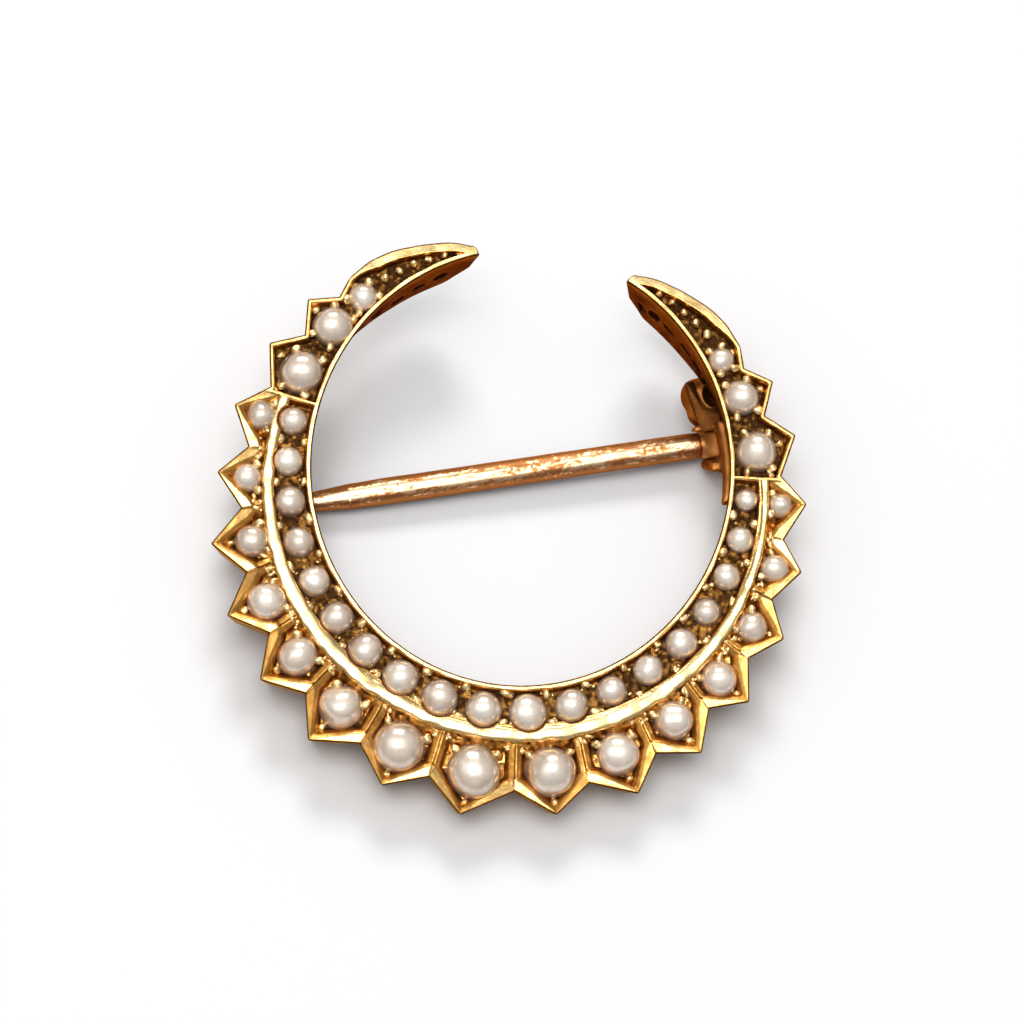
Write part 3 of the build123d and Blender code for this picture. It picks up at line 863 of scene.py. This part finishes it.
def softened(name, node, centre, sides, passes, stain_and_painted_light, added=(), hollow=()):
    """The part of a CAD node inside a box, with soft forms added and cut out, its edges smoothed soft."""
    source = welded(node)
    helpers = [box_cutter(centre, sides)]
    cut_with(source, "INTERSECT", helpers[0])
    if added:
        kept = settled(source, helpers)
        helpers = [egg_forms("added_forms", added)]
        form = bmesh.new()
        form.from_mesh(kept)
        form.from_mesh(helpers[0].data)
        form.to_mesh(kept)
        form.free()
        source = new_object(f"{name}_forms", kept)
    remeshed(source, "remesh")
    if hollow:
        cutter = egg_forms("bracket_hollow", hollow)
        cut_with(source, "DIFFERENCE", cutter)
        helpers.append(cutter)
        remeshed(source, "remesh_again")
    smooth = source.modifiers.new("smooth", "SMOOTH")
    smooth.factor, smooth.iterations = 0.5, passes
    mesh = settled(source, helpers)
    points = own_points(mesh)
    # Even darkening with noise: staining, and painted shade where these parts sit under the crescent.
    add_values(mesh, "tarnish", stain_and_painted_light + 0.18 * noise(points[:, 0], points[:, 1] + points[:, 2], 0.5, 15))
    set_materials(mesh, shaded_warm_gold)
    mesh.shade_smooth()
    return new_object(name, mesh)


def cut_crescent():
    """Mesh of the CAD crescent behind the cut, with hollows in its horns and without the hinge."""
    whole = welded("crescent")
    cutters = [hollow_cutter(), box_cutter(hinge_box_centre, np.diag(hinge_box_halves))]
    for cutter in cutters:
        cut_with(whole, "DIFFERENCE", cutter)
    mesh = settled(whole, cutters)
    form = bmesh.new()
    form.from_mesh(mesh)
    bmesh.ops.remove_doubles(form, verts=form.verts, dist=weld_distance)
    # The horns bend further than the rest, so their long edges are split first
    horns_above = to_row((0, half_height * 0.7, 0))[1]
    for longest in (1.2, 0.5, 0.25):
        long_edges = [edge for edge in form.edges
                      if edge.calc_length() > longest * MM and edge.verts[0].co.y > horns_above]
        bmesh.ops.subdivide_edges(form, edges=long_edges, cuts=1)
    bmesh.ops.triangulate(form, faces=[face for face in form.faces if len(face.verts) > 4])
    bmesh.ops.bisect_plane(form, geom=form.verts[:] + form.edges[:] + form.faces[:], dist=1e-8,
                           plane_co=Vector(to_row((0, 0, cut_height))), plane_no=own_up, clear_outer=True)
    form.to_mesh(mesh)
    form.free()
    return mesh


def crescent_back():
    """Everything of the CAD crescent behind the cut: back, light holes and catch."""
    mesh = cut_crescent()
    points = own_points(mesh)
    angles, beyond = around_rim(points)
    away, heights = np.abs(angles), points[:, 2]
    width = np.maximum(outer_reach(angles) - rim_reach(angles), 0.05)
    above_back = heights > -plane_slack
    inset = np.minimum(wall_taper * (front - heights), width * most_inset)
    inset *= np.clip(beyond / width, 0, 1) ** 6 * above_back
    inside = np.clip(1 - (beyond - 0.05 - 0.3 * (away > horns_start)) / 0.1, 0, 1)
    at_wall = np.clip(1 - beyond / 0.25, 0, 1) * above_back
    beyond = beyond + wall_lean(angles, heights) * at_wall
    # The horns' backs are deeper, turn up towards their tips and are a little less deep on the right
    tip_start, tip_run = CHANGES["tip is drawn in"]
    turn_up = 1 - 1.7 * (np.maximum(away - tip_start, 0) / tip_run) ** 2.5
    deeper = horn_deepening * once("horn deepens", away) * turn_up * (1 - heights / cut_height)
    deeper = deeper * (1 - 0.16 * once("right horn is lower", angles))
    lowered = heights - deeper * (above_back & (heights < cut_height - plane_slack))
    points[:, :2] = place(np.where(above_back, drawn_in(angles, lowered), angles), beyond - inset)
    mesh.vertices.foreach_set("co", to_row(np.column_stack([points[:, :2], lowered])).ravel())
    # Darker inside the opening and deep in the horns' hollows: painted shade, over the back's own mottled
    # staining.
    stains_and_painted_shade = 0.50 + 0.16 * inside + wall_mottle(points)
    for _, centre, radii in hollow_spots():
        near = np.linalg.norm((points - centre) / max(radii), axis=1) < 1
        stains_and_painted_shade[near & (beyond > 0.03)] = 0.95
    add_values(mesh, "tarnish", stains_and_painted_shade)
    set_materials(mesh, gold, shaded_warm_gold)
    in_opening = [int(inside[list(face.vertices)].mean() > 0.9) for face in mesh.polygons]
    mesh.polygons.foreach_set("material_index", in_opening)
    mesh.shade_smooth()
    mesh.set_sharp_from_angle(angle=radians(35))
    return new_object("crescent_back", mesh)


back = crescent_back()
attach(back, "brooch")

# Pearls: uneven balls, a little smaller than the CAD pearls, each with its own tone
pearl_unit, pearl_faces = ball(28, 44)
pearl_shrink = 0.985
tones = np.random.default_rng(5).uniform(-0.07, 0.14, len(pearls))
for (name, (cx, cy), radius), tone in zip(pearls, tones):
    shape = dented(pearl_unit, 0.020) * radius * pearl_shrink + (cx, cy, pearl_girdle)
    piece = mesh_object(f"{name}_nacre", shape, pearl_faces, nacre, tone=np.full(len(shape), tone))
    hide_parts(name)
    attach(piece, "brooch")


def inner_row_grains():
    """Grains in pairs between neighbouring inner pearls, each with two lumps beside it."""
    spots = []
    steps = len(INNER_LEFT) - 1
    for index in range(-steps, steps):
        angle = (index + 0.5) * INNER_PITCH
        inside = rim_width + 0.13
        outside = ridge_beyond(angle) - ridge_reach_in(angle) - 0.08
        for beyond, into_row in ((inside, 1), (outside, -1)):
            turn = dice.uniform(-0.5, 0.5)
            grain = place(angle + turn, beyond)
            spots.append((grain, 2.18, dice.uniform(0.20, 0.26), dice.uniform(0.8, 1.5)))
            for _ in range(2):
                turn = dice.uniform(-1.6, 1.6)
                lump = place(angle + turn, beyond + into_row * dice.uniform(-0.05, 0.25))
                spots.append((lump, 2.06, dice.uniform(0.07, 0.13), dice.uniform(0.8, 1.6)))
    return spots


def setting_grains(cell):
    """Grains round one pearl and in its point, and lumps beside the ridge at its neighbours."""
    spots = []
    pearl_angle = atan2(cell.spot[0], -cell.spot[1])
    outward = np.array([sin(pearl_angle), -cos(pearl_angle)])
    sideways = np.array([-outward[1], outward[0]])
    turns = (58, -55, 125, -122) if cell.single else (50, -48)
    for from_back in turns:
        turn = radians(180 - from_back + dice.uniform(-6, 6))
        spot = cell.spot + (outward * cos(turn) + sideways * sin(turn)) * (cell.radius + 0.07)
        spots.append((spot, 2.26, dice.uniform(0.19, 0.25), dice.uniform(0.8, 1.3)))
    to_point = cell.point - cell.spot
    room = np.linalg.norm(to_point)
    spots.append((cell.spot + to_point / room * min(room - 0.42, cell.radius + 0.2), 2.1, 0.19, 1.15))
    if not cell.single:
        for end in cell.span:
            for _ in range(4):
                angle = cell.side * end + dice.uniform(-2.2, 2.2)
                beyond = ridge_beyond(angle) + ridge_half(angle) + dice.uniform(0.08, 0.42)
                lump = place(angle, beyond)
                spots.append((lump, 2.32, dice.uniform(0.07, 0.15), dice.uniform(0.7, 1.7)))
    return spots


def horn_beads():
    """A row of smaller and smaller beads towards each horn's tip."""
    height, pitch = 2.2, 4.0
    return [(place(drawn_in(side * (135.6 + pitch * step), height), 0.92 - 0.1 * step), height,
             0.22 - 0.01 * step, 1.0) for side in (-1, 1) for step in range(6)]


def grain_list():
    """Places and sizes of the setting grains: plan position, height, radius and stretch."""
    spots = inner_row_grains()
    for cell in cells:
        spots += setting_grains(cell)
    return spots + horn_beads()


def grains():
    """All grains and casting lumps in one mesh."""
    unit, unit_faces = ball(8, 12)
    shapes = []
    for spot, height, radius, stretch in grain_list():
        turn = dice.uniform(0, pi)
        shape = dented(unit, 0.11) * (radius * stretch, radius / stretch**0.5, radius * 0.9)
        shapes.append(turned(shape, turn) + (*spot, height))
    points, faces = joined(shapes, unit_faces)
    angles, beyond = around_rim(points)
    # No grain shows through the opening's wall
    behind_wall = 0.13
    points[:, :2] = place(angles, np.maximum(beyond, behind_wall))
    # The grains are set paler still: polish, with a painted highlight.
    return mesh_object("setting_grains", points, faces, bead_gold, tarnish=np.full(len(points), -0.22))


piece = grains()
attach(piece, "brooch")

# Pin: the wire, worn flat along its front, and the knuckle on the rivet
hinge_spot = np.array([9.2, 3.7346, -1.6])
stem_angle = radians(18.6)
to_tip = np.array([-cos(stem_angle), -sin(stem_angle), 0])
stem_side = np.array([sin(stem_angle), -cos(stem_angle), 0])
# Wire: distance from the hinge, radius
WIRE = [(0.80, 0.40), (0.81, 0.56), (0.90, 0.60), (1.3, 0.62), (16.0, 0.62), (17.6, 0.58),
        (19.0, 0.48), (20.2, 0.35), (21.2, 0.2), (22.0, 0.1), (22.16, 0.06), (22.2, 0.01)]


def pin_wire():
    """The wire: slightly dented and flattened along its front, paler there as real wear and a painted
    highlight, darker along its lower side as painted shade, with ragged edges to the pale band.
    """
    around, step = 56, 0.06
    distances, wire_radii = zip(*WIRE)
    runs = np.unique(np.concatenate([distances, np.arange(distances[0], distances[-1], step)]))
    radii = np.interp(runs, distances, wire_radii)
    turns = np.linspace(0, 2 * pi, around, endpoint=False)
    run, turn = np.meshgrid(runs, turns, indexing="ij")
    upward, sideways = np.cos(turn), np.sin(turn)
    dents = 0.012 * noise(run, turn * 0.4, 0.9, 11) + 0.006 * noise(run, turn * 0.4, 0.25, 12)
    radius = radii[:, None] * (1 + dents)
    flat = 0.965 + 0.018 * noise(run, run * 0, 1.3, 13) + 0.008 * noise(run, turn, 0.3, 16)
    lean = upward * 0.99 + sideways * 0.14
    radius = np.where(lean > flat, radius * flat / lean, radius)
    points = (hinge_spot + run[..., None] * to_tip + (radius * upward)[..., None] * np.array([0, 0, 1])
              + (radius * sideways)[..., None] * stem_side)
    ragged = 0.26 * noise(run, turn * 1.5, 0.5, 14) + 0.24 * noise(run, turn * 2.5, 0.12, 17)
    # Pale on the flattened front, real wear with a painted highlight, and darker along the lower side, a
    # painted shade.
    wear_and_highlight = step_up(lean - 0.78 + ragged, 0.22)
    tarnish = 0.50 - 0.62 * wear_and_highlight + 0.42 * step_up(0.30 - lean, 0.5)
    closed = np.concatenate([points, points[:, :1]], 1)
    values = np.concatenate([tarnish, tarnish[:, :1]], 1)
    return mesh_object("pin_wire", closed.reshape(-1, 3), grid_faces(len(runs), around + 1), rose_gold,
                       tarnish=values.reshape(-1))


wire = pin_wire()
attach(wire, "pin")
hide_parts("pin_stem")


hinge_axes = np.array([-to_tip, -stem_side, [0, 0, 1]])
# Soft forms of the bracket, from the hinge: along the stem, across it, height, and their half sizes
BRACKET = [(-0.70, 2.28, 0.45, 0.66, 0.80, 1.20), (0.00, 2.00, 0.75, 1.05, 1.15, 1.15),
           (-0.45, 1.50, 0.40, 0.75, 0.78, 1.05), (0.70, 1.95, 1.10, 1.05, 1.20, 0.85)]
BRACKET_HOLLOW = [(0.05, 1.95, 2.00, 0.62, 0.70, 0.85)]
ear_box = (hinge_spot - 1.4 * hinge_axes[1] + (0, 0, 0.4),
           (hinge_axes[0] * 4.0, hinge_axes[1] * 2.0, hinge_axes[2] * 1.9))
bracket = softened("hinge_bracket", "crescent", *ear_box, passes=60, stain_and_painted_light=0.38,
                   added=BRACKET, hollow=BRACKET_HOLLOW)
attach(bracket, "brooch")
knuckle_box = (hinge_spot - 0.15 * to_tip, (to_tip * 1.0, stem_side * 1.3, np.array([0, 0, 1.5])))
knuckle = softened("pin_knuckle", "pin_stem", *knuckle_box, passes=12, stain_and_painted_light=0.26)
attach(knuckle, "pin")
set_materials(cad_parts["hinge_rivet"].data, gold)


def facing(spot, across, back):
    """Placing matrix of a camera or light, from its spot, its right side and its back."""
    axes = Matrix((across, back.cross(across), back)).transposed()
    return Matrix.Translation(spot) @ axes.to_4x4()


# Camera: 200 mm from the front face's centre, 14 degrees below its normal and 4 to the left
picture_size = 1024
camera_distance = 200.0
pixels_per_mm = 21.8
roll = radians(8.889)
below, left = radians(14), radians(4)
aim_own, aim_pixel = np.array([0.077, -0.136, front]), (523.0, 468.6)
to_camera = np.array([-sin(left), -sin(below) * cos(left), cos(below) * cos(left)])
up = np.array([0, 1, 0]) - to_camera * to_camera[1]
up /= np.linalg.norm(up)
right = np.cross(up, to_camera)
image_right = cos(roll) * right + sin(roll) * up
image_up = -sin(roll) * right + cos(roll) * up
focal_pixels = pixels_per_mm * camera_distance
view_line = (-to_camera + image_right * (picture_size / 2 - aim_pixel[0]) / focal_pixels
             - image_up * (picture_size / 2 - aim_pixel[1]) / focal_pixels)
back_axis = Vector((-view_line @ own_axes)).normalized()
side_axis = Vector(image_up @ own_axes).cross(back_axis).normalized()
camera_data = bpy.data.cameras.new("camera")
camera_data.lens = focal_pixels * camera_data.sensor_width / picture_size
camera_data.clip_start, camera_data.clip_end = 0.01, 5
camera = new_object("camera", camera_data)
camera.matrix_world = facing(to_row(aim_own + camera_distance * to_camera), side_axis, back_axis)
bpy.context.scene.camera = camera
picture_up = Vector(image_up @ own_axes)
picture_right = Vector(image_right @ own_axes)
picture_back = Vector(to_camera @ own_axes)


def floor():
    """The pale surface that the brooch lies on."""
    mesh = bpy.data.meshes.new("floor")
    half = 0.7
    corners = [(x, y, 0) for x, y in ((-half, -half), (half, -half), (half, half), (-half, half))]
    mesh.from_pydata(corners, [], [(0, 1, 2, 3)])
    material, _, shader = new_material("floor")
    set_inputs(shader, {"Base Color": (0.78, 0.78, 0.785, 1), "Roughness": 0.9, "Specular IOR Level": 0.1})
    mesh.materials.append(material)
    new_object("floor", mesh)


floor()


def softbox(name, direction, distance, width, height, power):
    """Rectangular light that faces the brooch."""
    light = bpy.data.lights.new(name, "AREA")
    light.shape = "RECTANGLE"
    light.size, light.size_y = width, height
    light.energy = power
    obj = new_object(name, light)
    direction = Vector(direction).normalized()
    across = (picture_right - direction * picture_right.dot(direction)).normalized()
    obj.matrix_world = facing(direction * distance, across, direction)
    return obj


level_up = Vector((picture_up.x, picture_up.y, 0)).normalized()
# Lights: name, direction, distance, width and height in metres, power
LIGHTS = [
    ("overhead_softbox", picture_back + 0.36 * picture_up - 0.12 * picture_right, 0.5, 0.8, 0.4, 0.80),
    ("key_softbox", picture_back + 0.30 * picture_up - 0.02 * picture_right, 0.45, 0.22, 0.17, 0.80),
    ("far_softbox", level_up + Vector((0, 0, 0.75)), 0.6, 0.36, 0.20, 1.3),
    ("shadow_softbox", level_up + Vector((0, 0, 1.1)), 0.6, 0.20, 0.16, 1.6),
]
lights = {row[0]: softbox(*row) for row in LIGHTS}
lights["far_softbox"].visible_diffuse = False
lights["shadow_softbox"].visible_glossy = False


def grey_sky():
    """The world around: grey, and paler upwards."""
    world = bpy.data.worlds.new("world")
    bpy.context.scene.world = world
    world.use_nodes = True
    tree = world.node_tree
    tree.nodes.clear()
    split = tree.nodes.new("ShaderNodeSeparateXYZ")
    tree.links.new(tree.nodes.new("ShaderNodeTexCoord").outputs["Generated"], split.inputs[0])
    sky = ramp_node(tree, split.outputs["Z"], [(0.0, grey(0.2)), (0.35, grey(0.35)), (0.9, grey(0.6))])
    background = tree.nodes.new("ShaderNodeBackground")
    tree.links.new(sky, background.inputs["Color"])
    set_inputs(background, {"Strength": 0.8})
    output = tree.nodes.new("ShaderNodeOutputWorld")
    tree.links.new(background.outputs[0], output.inputs[0])


grey_sky()
bpy.context.scene.view_settings.view_transform = "Standard"
